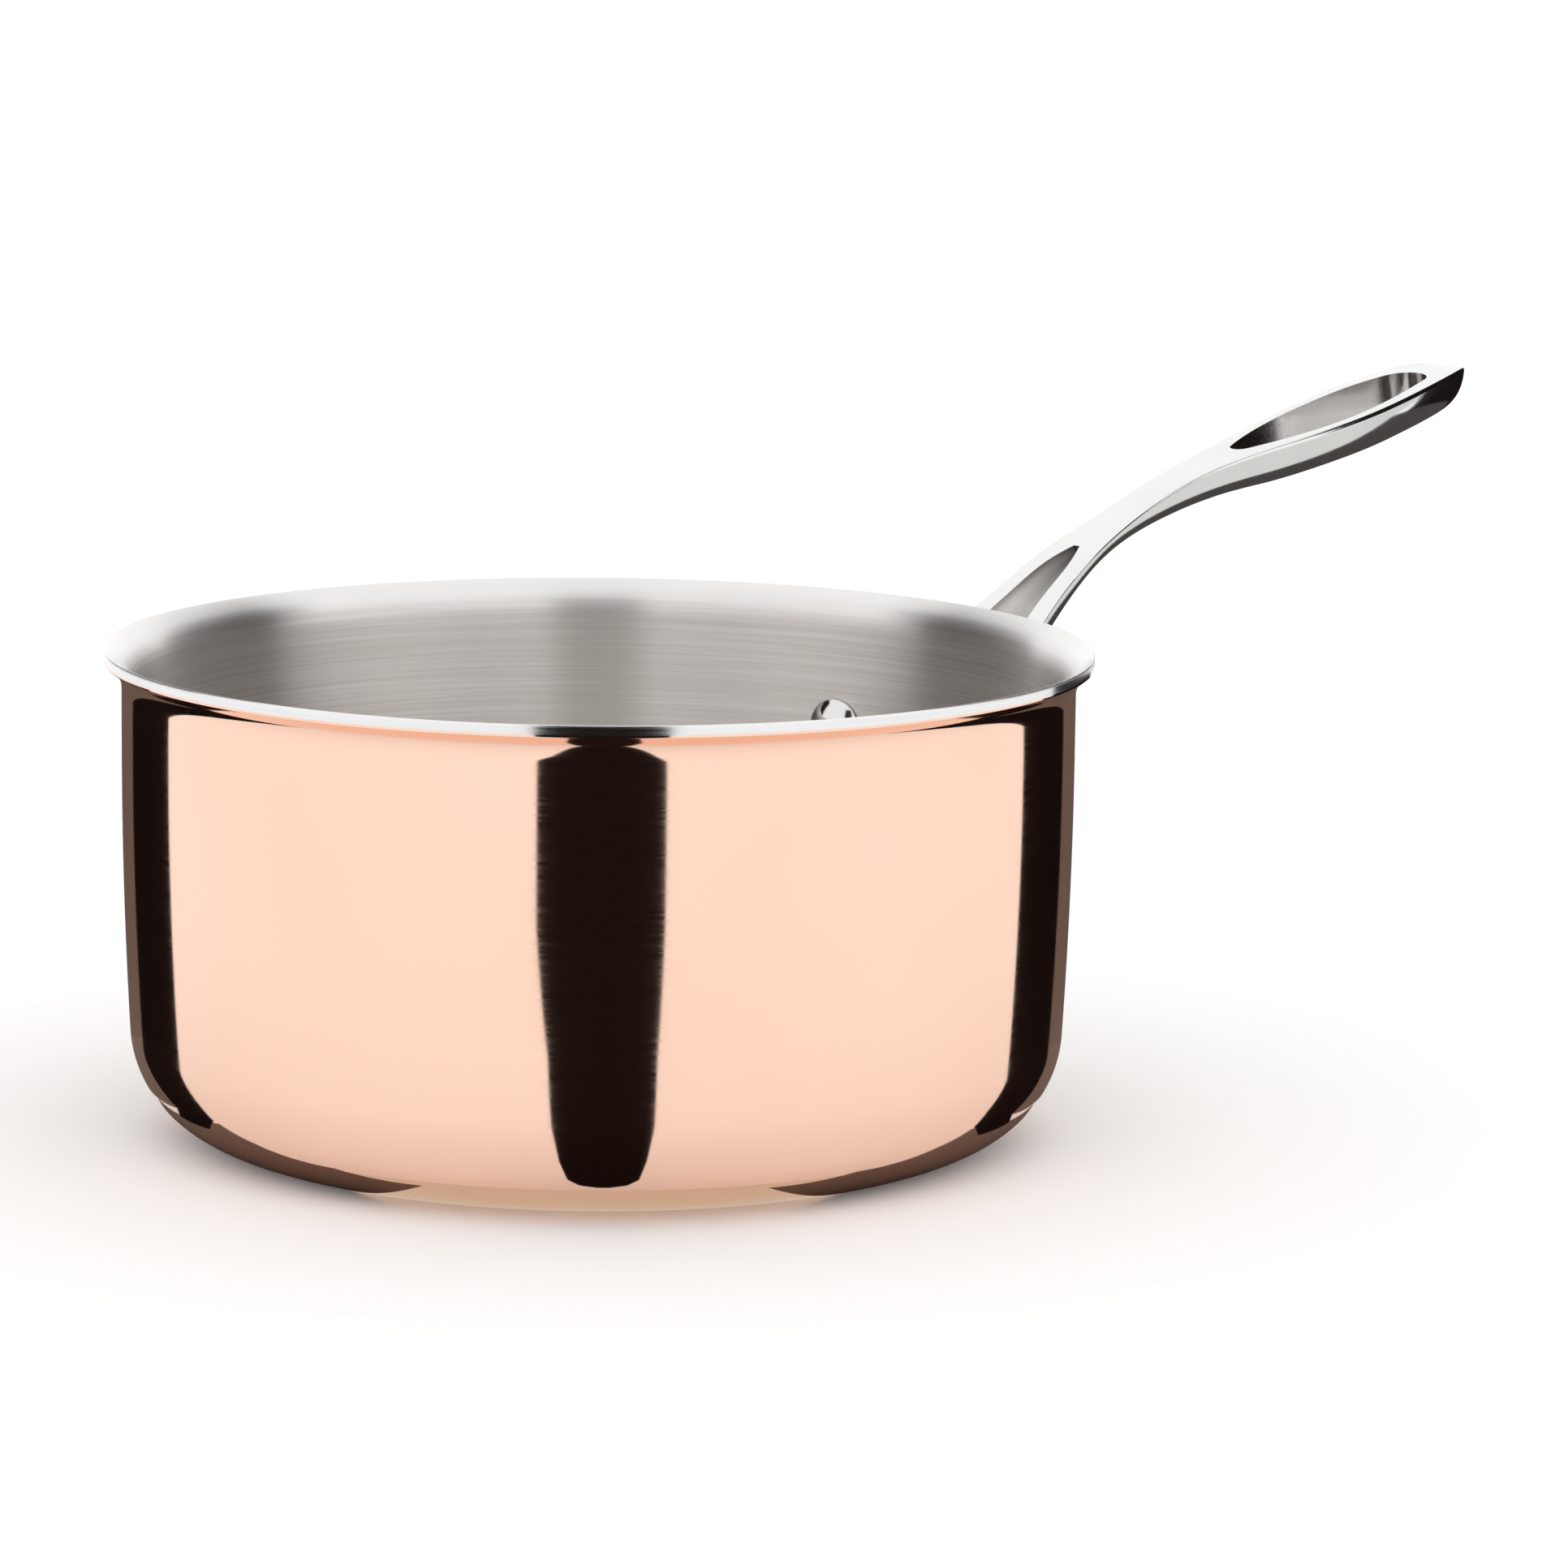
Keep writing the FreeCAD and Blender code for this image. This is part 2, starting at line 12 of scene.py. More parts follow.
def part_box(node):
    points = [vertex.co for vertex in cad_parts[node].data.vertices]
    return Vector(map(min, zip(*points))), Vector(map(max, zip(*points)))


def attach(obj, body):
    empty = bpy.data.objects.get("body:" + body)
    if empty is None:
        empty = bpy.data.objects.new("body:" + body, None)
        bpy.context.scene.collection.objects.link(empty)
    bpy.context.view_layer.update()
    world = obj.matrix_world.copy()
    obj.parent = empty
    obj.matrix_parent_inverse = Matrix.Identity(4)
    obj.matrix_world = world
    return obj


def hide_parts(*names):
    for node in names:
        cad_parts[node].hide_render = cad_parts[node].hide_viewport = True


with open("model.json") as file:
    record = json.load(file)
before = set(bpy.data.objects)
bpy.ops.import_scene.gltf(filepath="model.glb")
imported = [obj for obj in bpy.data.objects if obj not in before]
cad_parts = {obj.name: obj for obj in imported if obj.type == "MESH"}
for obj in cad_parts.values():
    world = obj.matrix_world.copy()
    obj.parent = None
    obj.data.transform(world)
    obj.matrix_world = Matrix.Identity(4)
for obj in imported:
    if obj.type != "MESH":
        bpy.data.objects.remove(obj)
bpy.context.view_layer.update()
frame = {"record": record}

MM = 0.001
STEEL_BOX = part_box("steel_lining")
CORE_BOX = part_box("aluminium_core")
SEAT = next(mount for mount in frame["record"]["mounts"] if mount["name"] == "lid_seat")

# ---- pan sizes, as in the CAD model --------------------------------------------------------
RIM_Z = STEEL_BOX[1][2]
LIP_R = STEEL_BOX[1][0]
MOUTH_R = SEAT["dims"]["r_mm"] * MM
LAND = SEAT["dims"]["length_mm"] * MM
COPPER = CORE_BOX[0][2]
CORE = STEEL_BOX[0][2] - COPPER
STEEL = 0.6 * MM
WALL = COPPER + CORE + STEEL
CORNER_R = 21.6 * MM
WALL_ARC_R = 1100 * MM
BEND_R = 8 * MM
LIP_LEAN = math.radians(53)
COPPER_SOFT, STEEL_SOFT = 0.15 * MM, 0.25 * MM
TURNS = 256

# ---- rivet sizes ---------------------------------------------------------------------------
RIVET_AZIMUTH = math.radians(13.4)
RIVET_Z = RIM_Z - 30.8 * MM
HEAD_R, HEAD_RISE, HEAD_EDGE = 6.2 * MM, 3 * MM, 0.7 * MM
TAIL_R, TAIL_RISE = 4.8 * MM, 2.4 * MM
SHANK_R = 3 * MM
HEAD_SINK, HEAD_SOFT = 0.1 * MM, 0.3 * MM
PLATE_GAUGE = 4 * MM

# ---- handle --------------------------------------------------------------------------------
# Sections in mm: distance out, rise of the top face above the rim, half width, depth
HANDLE = (
    (103.0, -24.5, 16.8, 16.0),
    (112.0, -18.0, 14.9, 13.5),
    (124.0, -9.3, 12.6, 11.2),
    (137.0, -0.5, 9.7, 8.8),
    (150.0, 7.0, 7.8, 6.0),
    (164.0, 13.1, 6.0, 5.4),
    (180.0, 19.3, 5.5, 7.0),
    (200.0, 24.8, 6.8, 8.7),
    (222.0, 29.1, 10.2, 10.8),
    (245.0, 33.7, 12.5, 12.1),
    (264.0, 37.8, 11.7, 11.6),
    (277.0, 40.1, 9.3, 10.8),
    (283.5, 40.8, 7.0, 8.8),
    (291.4, 40.2, 1.0, 1.2),
)
SCOOP = (
    (107.5, -21.3, 9.6, 6.5),
    (122.0, -10.7, 7.5, 5.0),
    (137.0, -0.5, 4.9, 3.6),
    (147.0, 5.4, 3.1, 2.5),
    (152.4, 8.1, 0.9, 1.2),
)
HANDLE_FULLNESS, SCOOP_FULLNESS = 2.5, 3.0
HANDLE_STATIONS, SCOOP_STATIONS, BELLY_STEPS = 420, 120, 56
EDGE_R, EDGE_SHARE = 0.7 * MM, 0.08
EDGE_TURNS = [math.radians(turn) for turn in (0, 30, 60, 90)]
TOP_SHARES = (0.6, 0.2, -0.2, -0.6)
SCOOP_LIFT = 1.0 * MM
HANDLE_SHARP = 34
SLOT_START, SLOT_RISE, SLOT_TILT = 210.2 * MM, 26.9 * MM, math.radians(11.5)
SLOT_SPACING, SLOT_NEAR_R, SLOT_FAR_R, SLOT_BOW_R = 59.5 * MM, 3 * MM, 6.2 * MM, 101.8 * MM
SLOT_LEVELS = (-20 * MM, 4 * MM)
PLATE_SWEEP = math.radians(37)
PLATE_TALL = 24 * MM
PLATE_CORNER = 9 * MM

# ---- camera: azimuth of the view, place and lens -------------------------------------------
VIEW_TURN = math.radians(-44)
CAMERA_OUT, CAMERA_UP = 1.4149, 0.3187
CAMERA_YAW, CAMERA_PITCH, CAMERA_ROLL = 0.02816, 0.17002, 0.01265
CAMERA_LENS, SENSOR_WIDTH = 153.07, 36

# ---- studio: metres, and bearings as the camera has them ------------------------------------
WORLD_STRENGTH = 1.05
FLOOR_REACH, FLOOR_GLOW = 4.0, 0.07

# Flags on the floor: rows of travel from the wall, low and high normal in degrees, as in mirrored
FRONT_ROWS = (
    (-0.0075, 0.2, 1.8),
    (-0.0065, -2.2, 4.2),
    (-0.004, -3.8, 5.8),
    (0.006, -4.8, 6.6),
    (0.06, -5.4, 7.0),
    (0.12, -5.8, 7.2),
    (0.185, -6.6, 7.6),
    (0.275, -7.2, 7.9),
)
LEFT_ROWS = ((-0.004, -78, -66), (0.004, -77, -63), (0.02, -76, -62.3), (0.1, -75.5, -62.3))
RIGHT_ROWS = ((-0.004, 65, 77), (0.004, 62, 76), (0.02, 61, 75.5), (0.1, 61, 75))
LEFT_STRIP_ROWS = ((0.003, -92, -77), (0.1, -92, -75.5))
RIGHT_STRIP_ROWS = ((0.003, 76, 92), (0.1, 75, 92))
FRONT_TALL, SIDE_TALL = 0.5, 0.085

# Flat flags of painted shade at the pan's foot: travel and normal of each corner of a tail, and the ring's
# radii
TAIL = ((-0.0105, 24), (-0.008, 38), (-0.004, 54), (0.003, 62), (0.003, 92), (-0.0105, 92))
RING_R, RING_HOLE_R, RING_STEPS = 93.5 * MM, 76.5 * MM, 96

# Heights over the floor of the flat flags: those that overlap lie a little apart
FLAG_LIFT = 0.3 * MM
TAIL_LIFT, RING_LIFT = 0.5 * FLAG_LIFT, 0.25 * FLAG_LIFT

# Cards that darken the ends of the inner wall: first and last bearing in degrees, low and high edge
CARD_FAR = 0.55
CARDS = {
    "left_card": (122, 173, 0.12, 0.62),
    "right_card": (7, 58, 0.12, 0.62),
    "low_card": (29, 60, 0, 0.12),
}

# Sheets that the handle's belly and side reflect: their shared edge, then the rest of each outline
SHEET_Z = 92 * MM
SHEET_EDGE = ((0.125, -0.012), (0.2, -0.018), (0.25, -0.03), (0.3, -0.055), (0.4, -0.11))
UNDER_HANDLE = ((0.4, 0.1), (0.13, 0.05))
BESIDE_HANDLE = ((0.6, -0.16), (0.6, -0.3), (0.15, -0.25))


# ---- mesh helpers --------------------------------------------------------------------------
def new_object(name, verts, faces):
    mesh = bpy.data.meshes.new(name)
    mesh.from_pydata([tuple(v) for v in verts], [], faces)
    mesh.validate()
    made = bpy.data.objects.new(name, mesh)
    bpy.context.scene.collection.objects.link(made)
    return made


def shade(obj, sharp_degrees=None):
    """Smooth shading, but for edges sharper than the angle where one is given."""
    obj.data.shade_smooth()
    if sharp_degrees is not None:
        obj.data.set_sharp_from_angle(angle=math.radians(sharp_degrees))


def tidy_normals(obj, sharp_degrees=None):
    """Points every face outwards and shades the piece smooth, but for edges sharper than the angle."""
    work = bmesh.new()
    work.from_mesh(obj.data)
    bmesh.ops.remove_doubles(work, verts=work.verts, dist=1e-7)
    bmesh.ops.recalc_face_normals(work, faces=work.faces)
    work.to_mesh(obj.data)
    work.free()
    shade(obj, sharp_degrees)


def arc_points(centre, radius, start, end, count):
    """Points on an arc between two angles in degrees, both ends included."""
    angles = np.radians(np.linspace(start, end, count))
    return [(centre[0] + radius * math.cos(a), centre[1] + radius * math.sin(a)) for a in angles]


def round_corner(before, corner, after, radius, count=4):
    """The points that replace a corner by a fillet of that radius."""
    corner, before, after = Vector(corner), Vector(before), Vector(after)
    arrive, leave = (before - corner).normalized(), (after - corner).normalized()
    half = arrive.angle(leave) / 2
    centre = corner + (arrive + leave).normalized() * (radius / math.sin(half))
    first = corner + arrive * (radius / math.tan(half)) - centre
    last = corner + leave * (radius / math.tan(half)) - centre
    rays = [first.slerp(last, k / count).normalized() for k in range(count + 1)]
    return [tuple(centre + ray * radius) for ray in rays]


def lathe(name, profile, turns=TURNS):
    """Closed solid turned about Z. The profile runs from the axis outwards and back to the axis."""
    verts, rings = [], []
    for out, height in profile:
        if out < 1e-6:
            rings.append([len(verts)])
            verts.append((0, 0, height))
            continue
        rings.append(list(range(len(verts), len(verts) + turns)))
        for k in range(turns):
            angle = 2 * math.pi * k / turns
            verts.append((out * math.cos(angle), out * math.sin(angle), height))
    faces = []
    for ring, after in zip(rings[:-1], rings[1:]):
        for k in range(turns):
            here, there = k, (k + 1) % turns
            if len(ring) == 1 and len(after) > 1:
                faces.append((ring[0], after[here], after[there]))
            elif len(after) == 1 and len(ring) > 1:
                faces.append((ring[here], after[0], ring[there]))
            elif len(ring) > 1:
                faces.append((ring[here], after[here], after[there], ring[there]))
    return new_object(name, verts, faces)


# ---- the three layers of the pan -----------------------------------------------------------
def land_heights():
    """Bottom and top of the straight band under the flared lip."""
    straight_out = LIP_R - MOUTH_R - BEND_R * (1 - math.cos(LIP_LEAN))
    top = RIM_Z - BEND_R * math.sin(LIP_LEAN) - straight_out / math.tan(LIP_LEAN)
    return top - LAND, top


def pan_face(offset):
    """One face of the pan from the axis to the lip, offset outwards from the steel's inner face."""
    low, top = land_heights()
    corner_z = WALL + CORNER_R
    slope = math.asin((low - corner_z) / (WALL_ARC_R - CORNER_R))
    corner_out = MOUTH_R - WALL_ARC_R + (WALL_ARC_R - CORNER_R) * math.cos(slope)
    slope, lean = math.degrees(slope), math.degrees(LIP_LEAN)
    floor = WALL - offset
    points = [(corner_out * share, floor) for share in (0, 0.25, 0.5, 0.75, 0.9)]
    points += arc_points((corner_out, corner_z), CORNER_R + offset, -90, -slope, count=28)
    points += arc_points((MOUTH_R - WALL_ARC_R, low), WALL_ARC_R + offset, -slope, 0, count=12)[1:]
    points += [(MOUTH_R + offset, low + (top - low) * share) for share in (0.34, 0.67)]
    points += arc_points((MOUTH_R + BEND_R, top), BEND_R - offset, 180, 180 - lean, count=14)
    last = points[-1]
    points.append((LIP_R, last[1] + (LIP_R - last[0]) / math.tan(LIP_LEAN)))
    return points


def pan_layer(name, node, inside, outside, inner_round=0, outer_round=0):
    """A layer between two offsets. A lip corner with a radius is softened."""
    inner, outer = pan_face(inside), pan_face(outside)
    upper, lower = inner[-1], outer[-1]
    rim = round_corner(inner[-2], upper, lower, inner_round) if inner_round else [upper]
    rim += round_corner(upper, lower, outer[-2], outer_round) if outer_round else [lower]
    piece = lathe(name, inner[:-1] + rim + outer[-2::-1])
    tidy_normals(piece, 50)
    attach(piece, "root")
    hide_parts(node)
    return piece


# ---- handle --------------------------------------------------------------------------------
def natural_spline(xs, ys, at):
    """Values at the places at of the natural cubic spline through the points."""
    xs, ys, count = np.asarray(xs), np.asarray(ys), len(xs)
    step = np.diff(xs)
    matrix, right = np.eye(count), np.zeros(count)
    for k in range(1, count - 1):
        matrix[k, k - 1 : k + 2] = step[k - 1], 2 * (step[k - 1] + step[k]), step[k]
        right[k] = 6 * ((ys[k + 1] - ys[k]) / step[k] - (ys[k] - ys[k - 1]) / step[k - 1])
    bend = np.linalg.solve(matrix, right)
    k = np.clip(np.searchsorted(xs, at) - 1, 0, count - 2)
    ahead, behind, width = xs[k + 1] - at, at - xs[k], step[k]
    curve = (bend[k] * ahead**3 + bend[k + 1] * behind**3) / (6 * width)
    near = (ys[k] / width - bend[k] * width / 6) * ahead
    return curve + near + (ys[k + 1] / width - bend[k + 1] * width / 6) * behind


def section_points(half, depth, top, fullness):
    """Ring of (y, z) points: a superellipse below, then the flat top with its softened edges."""
    soft = min(EDGE_R, EDGE_SHARE * depth)
    edge = [(half - soft * (1 - math.sin(t)), top - soft * (1 - math.cos(t))) for t in EDGE_TURNS]
    points = []
    for k in range(1, BELLY_STEPS):
        turn = math.pi * k / BELLY_STEPS
        side = math.copysign(abs(math.cos(turn)) ** (2 / fullness), math.cos(turn))
        points.append((half * side, top - depth * math.sin(turn) ** (2 / fullness)))
    points += [(-y, z) for y, z in edge[::-1]]
    points += [(-half * share, top) for share in TOP_SHARES]
    return points + edge


def lofted(name, sections, fullness, lift, stations):
    """Closed loft through the sections, with its top raised by the lift."""
    table = np.array(sections) * MM
    outs = np.linspace(table[0, 0], table[-1, 0], stations)
    rises, halves, depths = (natural_spline(table[:, 0], table[:, k], outs) for k in (1, 2, 3))
    verts, faces = [], []
    for out, rise, half, depth in zip(outs, rises, halves, depths):
        points = section_points(half, depth + lift, RIM_Z + rise + lift, fullness)
        verts += [(out, y, z) for y, z in points]
    ring = len(verts) // stations
    for s in range(stations - 1):
        for k in range(ring):
            a, b = s * ring + k, s * ring + (k + 1) % ring
            faces.append((a, b, b + ring, a + ring))
    faces.append(tuple(range(ring)))
    faces.append(tuple(reversed(range((stations - 1) * ring, stations * ring))))
    made = new_object(name, verts, faces)
    tidy_normals(made)
    return made


def slot_cutter():
    """Prism of the hanging slot's outline, square to the grip."""
    run, near, far, bow = SLOT_SPACING, SLOT_NEAR_R, SLOT_FAR_R, SLOT_BOW_R
    bow_x = (run**2 + (bow - near) ** 2 - (bow - far) ** 2) / (2 * run)
    bow_y = math.sqrt((bow - near) ** 2 - bow_x**2)
    near_turn = math.degrees(math.atan2(bow_y, -bow_x))
    far_turn = math.degrees(math.atan2(bow_y, run - bow_x))
    outline = arc_points((0, 0), near, near_turn, 360 - near_turn, count=24)
    outline += arc_points((bow_x, bow_y), bow, -near_turn, -far_turn, count=60)[1:]
    outline += arc_points((run, 0), far, -far_turn, far_turn, count=32)[1:]
    outline += arc_points((bow_x, -bow_y), bow, far_turn, near_turn, count=60)[1:-1]
    count = len(outline)
    verts = [(x, y, level) for level in SLOT_LEVELS for x, y in outline]
    faces = [(k, (k + 1) % count, count + (k + 1) % count, count + k) for k in range(count)]
    faces += [tuple(range(count)), tuple(range(count, 2 * count))]
    cutter = new_object("slot_cutter", verts, faces)
    place = Matrix.Translation((SLOT_START, 0, RIM_Z + SLOT_RISE))
    cutter.data.transform(place @ Matrix.Rotation(-SLOT_TILT, 4, "Y"))
    tidy_normals(cutter)
    return cutter


def wall_radius(height):
    """Outer radius of the pan's wall at a height below the lip."""
    low = land_heights()[0]
    if height >= low:
        return MOUTH_R + WALL
    reach = WALL_ARC_R + WALL
    return MOUTH_R - WALL_ARC_R + math.sqrt(reach**2 - (low - height) ** 2)


def rivet_plate(columns=72, rows=18):
    """Plate with rounded corners, bent to the pan's wall."""
    half_angle = PLATE_SWEEP / 2
    half_wide = half_angle * (MOUTH_R + WALL)
    verts, faces = [], []
    for skin in (0, PLATE_GAUGE):
        for c in range(columns + 1):
            along = -math.cos(math.pi * c / columns)
            past = max(0.0, abs(along) * half_wide - (half_wide - PLATE_CORNER))
            half_tall = PLATE_TALL / 2 - PLATE_CORNER + math.sqrt(max(PLATE_CORNER**2 - past**2, 1e-9))
            for r in range(rows + 1):
                height = RIVET_Z + half_tall * (2 * r / rows - 1)
                out = wall_radius(height) + skin
                angle = along * half_angle
                verts.append((out * math.cos(angle), out * math.sin(angle), height))
    column, layer = rows + 1, (columns + 1) * (rows + 1)
    for c in range(columns):
        for r in range(rows):
            a = c * column + r
            faces.append((a, a + 1, a + column + 1, a + column))
            faces.append(tuple(layer + v for v in (a + column, a + column + 1, a + 1, a)))
        for edge in (c * column, c * column + rows):
            faces.append((edge, edge + column, edge + column + layer, edge + layer))
    for start in (0, columns * column):
        for r in range(rows):
            a = start + r
            faces.append((a, a + 1, a + 1 + layer, a + layer))
    made = new_object("plate_blank", verts, faces)
    tidy_normals(made)
    return made


def apply_modifiers(obj):
    """Bakes the modifiers of obj into its own mesh."""
    depsgraph = bpy.context.evaluated_depsgraph_get()
    result = bpy.data.meshes.new_from_object(obj.evaluated_get(depsgraph))
    obj.modifiers.clear()
    obj.data = result


def combine(obj, other, operation):
    """Boolean of obj with other, which is used up. Faces keep the material of the mesh they come from."""
    boolean = obj.modifiers.new(operation, "BOOLEAN")
    boolean.operation = operation
    boolean.solver = "EXACT"
    boolean.material_mode = "TRANSFER"
    boolean.object = other
    apply_modifiers(obj)
    bpy.data.objects.remove(other)


def make_handle():
    """Cast handle: plate, fork with its scoop, neck and slotted grip."""
    cast = polished_steel("polished_cast_steel", srgb(240, 240, 239), srgb(233, 233, 232), 0.09, 0.13)
    satin = satin_steel()
    # Slot walls: a rougher, darker copy of the cast steel; the darkening is painted shade inside the slot
    inner = polished_steel("slot_steel_painted_shade", srgb(216, 214, 212), srgb(206, 203, 201), 0.12, 0.18)
    piece = lofted("handle_casting", HANDLE, HANDLE_FULLNESS, 0, HANDLE_STATIONS)
    scoop = lofted("scoop_cutter", SCOOP, SCOOP_FULLNESS, SCOOP_LIFT, SCOOP_STATIONS)
    slot, plate = slot_cutter(), rivet_plate()
    for part, material in ((piece, cast), (plate, cast), (slot, inner), (scoop, satin)):
        part.data.materials.append(material)
    combine(piece, slot, "DIFFERENCE")
    combine(piece, scoop, "DIFFERENCE")
    combine(piece, plate, "UNION")
    shade(piece, HANDLE_SHARP)
    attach(piece, "root")
    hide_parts("handle")


# ---- rivets --------------------------------------------------------------------------------
def make_rivet(name, node, side, material):
    """Domed rivet: turned about Z, then laid along its own radial axis."""
    seat = math.sqrt(MOUTH_R**2 - HEAD_R**2) - HEAD_SINK
    foot = MOUTH_R + WALL + PLATE_GAUGE
    dome = HEAD_RISE - HEAD_EDGE
    dome_r = (HEAD_R**2 + dome**2) / (2 * dome)
    bulge_r = (TAIL_R**2 + TAIL_RISE**2) / (2 * TAIL_RISE)
    dome_turn = math.degrees(math.asin(HEAD_R / dome_r))
    bulge_turn = math.degrees(math.asin(TAIL_R / bulge_r))
    crown = arc_points((0, seat - HEAD_RISE + dome_r), dome_r, -90, -90 + dome_turn, count=20)
    edge = round_corner(crown[-2], crown[-1], (HEAD_R, seat), HEAD_SOFT)
    under = [(HEAD_R, seat), (SHANK_R, seat), (SHANK_R, foot), (TAIL_R, foot)]
    tail = arc_points((0, foot + TAIL_RISE - bulge_r), bulge_r, 90 - bulge_turn, 90, count=14)
    profile = [(max(out, 0.0), height) for out, height in crown[:-1] + edge + under + tail[1:]]
    profile[0], profile[-1] = (0, profile[0][1]), (0, profile[-1][1])
    piece = lathe(name, profile, turns=64)
    lay = Matrix.Rotation(side * RIVET_AZIMUTH, 4, "Z") @ Matrix.Rotation(math.pi / 2, 4, "Y")
    piece.data.transform(Matrix.Translation((0, 0, RIVET_Z)) @ lay)
    tidy_normals(piece, 40)
    piece.data.materials.append(material)
    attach(piece, "root")
    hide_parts(node)


# ---- materials -----------------------------------------------------------------------------
def srgb(*channels):
    """Linear colour, with alpha, of an sRGB colour given as 0 to 255."""
    shares = [c / 255 for c in channels]
    return [s / 12.92 if s <= 0.04045 else ((s + 0.055) / 1.055) ** 2.4 for s in shares] + [1.0]


class Nodes:
    """A new metal material, and short calls that add nodes to it."""

    def __init__(self, name, metallic=1.0):
        self.material = bpy.data.materials.new(name)
        self.material.use_nodes = True
        self.tree = self.material.node_tree
        self.shader = self.tree.nodes["Principled BSDF"]
        self.shader.inputs["Metallic"].default_value = metallic
        self.place = self.add("ShaderNodeTexCoord").outputs["Object"]

    def add(self, kind, **values):
        node = self.tree.nodes.new(kind)
        for name, value in values.items():
            setattr(node, name, value)
        return node

    def link(self, source, target):
        self.tree.links.new(source, target)

    def scaled(self, scale, source=None):
        node = self.add("ShaderNodeVectorMath", operation="MULTIPLY")
        self.link(source or self.place, node.inputs[0])
        node.inputs[1].default_value = scale
        return node.outputs[0]

    def noise(self, vector, scale, detail=3.0, roughness=0.5):
        node = self.add("ShaderNodeTexNoise")
        self.link(vector, node.inputs["Vector"])
        node.inputs["Scale"].default_value = scale
        node.inputs["Detail"].default_value = detail
        node.inputs["Roughness"].default_value = roughness
        return node.outputs["Fac"]

    def span(self, value, low, high, start=0.3, end=0.7):
        node = self.add("ShaderNodeMapRange")
        self.link(value, node.inputs["Value"])
        for name, number in zip(("From Min", "From Max", "To Min", "To Max"), (start, end, low, high)):
            node.inputs[name].default_value = number
        return node.outputs["Result"]

    def blend(self, factor, first, second):
        """Mix of two tones, each a colour or the output of a node."""
        node = self.add("ShaderNodeMix", data_type="RGBA")
        self.link(factor, node.inputs["Factor"])
        for name, tone in (("A", first), ("B", second)):
            if isinstance(tone, list):
                node.inputs[name].default_value = tone
            else:
                self.link(tone, node.inputs[name])
        return node.outputs["Result"]

    def surface(self, colour, roughness):
        """Links the colour and the roughness of the surface."""
        self.link(colour, self.shader.inputs["Base Color"])
        self.link(roughness, self.shader.inputs["Roughness"])

    def bump(self, height, strength, distance):
        node = self.add("ShaderNodeBump")
        self.link(height, node.inputs["Height"])
        node.inputs["Strength"].default_value = strength
        node.inputs["Distance"].default_value = distance
        self.link(node.outputs["Normal"], self.shader.inputs["Normal"])

    def around(self, fine, slow):
        """Coordinates that change fast across the lines turned about Z and slowly along them."""
        parts = self.add("ShaderNodeSeparateXYZ")
        self.link(self.place, parts.inputs[0])
        flat = self.scaled((1, 1, 0))
        radius = self.add("ShaderNodeVectorMath", operation="LENGTH")
        self.link(flat, radius.inputs[0])
        ray = self.add("ShaderNodeVectorMath", operation="NORMALIZE")
        self.link(flat, ray.inputs[0])
        total = self.add("ShaderNodeMath", operation="SUBTRACT")
        self.link(parts.outputs["Z"], total.inputs[0])
        self.link(radius.outputs["Value"], total.inputs[1])
        joined = self.add("ShaderNodeCombineXYZ")
        turned = self.add("ShaderNodeSeparateXYZ")
        self.link(self.scaled((slow, slow, 0), ray.outputs[0]), turned.inputs[0])
        self.link(turned.outputs["X"], joined.inputs["X"])
        self.link(turned.outputs["Y"], joined.inputs["Y"])
        lines = self.add("ShaderNodeMath", operation="MULTIPLY")
        self.link(total.outputs[0], lines.inputs[0])
        lines.inputs[1].default_value = fine
        self.link(lines.outputs[0], joined.inputs["Z"])
        return joined.outputs[0]


def polished_copper():
    """Mirror copper with faint turned polishing lines and a slight change of tone."""
    m = Nodes("polished_copper")
    patches = m.noise(m.place, scale=14, detail=2)
    lines = m.noise(m.around(fine=2600, slow=2.5), scale=1, detail=2)
    colour = m.blend(m.span(patches, 0, 1), srgb(251, 214, 194), srgb(249, 209, 187))
    m.surface(colour, m.span(lines, 0.05, 0.085))
    m.bump(lines, strength=0.02, distance=0.02 * MM)
    return m.material


def brushed_steel():
    """Steel brushed around the pan, with an upright stretched sheen, smoother on the flared lip."""
    m = Nodes("brushed_steel")
    fine = m.noise(m.around(fine=5200, slow=3), scale=1, detail=3, roughness=0.6)
    broad = m.noise(m.around(fine=2200, slow=1.5), scale=1, detail=3)
    height = m.add("ShaderNodeSeparateXYZ")
    m.link(m.place, height.inputs[0])
    land_top = land_heights()[1]
    flare = m.span(height.outputs["Z"], 0, 1, start=land_top + 2 * MM, end=RIM_Z)
    wall = m.blend(m.span(broad, 0, 1), srgb(228, 223, 219), srgb(246, 242, 239))
    tone = m.blend(flare, wall, srgb(243, 242, 241))
    m.surface(tone, m.blend(flare, srgb(166, 166, 166), srgb(140, 140, 140)))
    m.shader.inputs["Anisotropic"].default_value = 1.0
    m.shader.inputs["Anisotropic Rotation"].default_value = 0.25
    tangent = m.add("ShaderNodeTangent", direction_type="RADIAL", axis="Z")
    m.link(tangent.outputs["Tangent"], m.shader.inputs["Tangent"])
    m.bump(fine, strength=0.12, distance=0.03 * MM)
    return m.material


def polished_steel(name, light, dark, low, high):
    """Polished steel with faint uneven buffing."""
    m = Nodes(name)
    patches = m.noise(m.place, scale=40, detail=3)
    scuffs = m.noise(m.scaled((900, 900, 900)), scale=1, detail=2)
    m.surface(m.blend(m.span(patches, 0, 1), light, dark), m.span(scuffs, low, high))
    m.bump(patches, strength=0.02, distance=0.05 * MM)
    return m.material


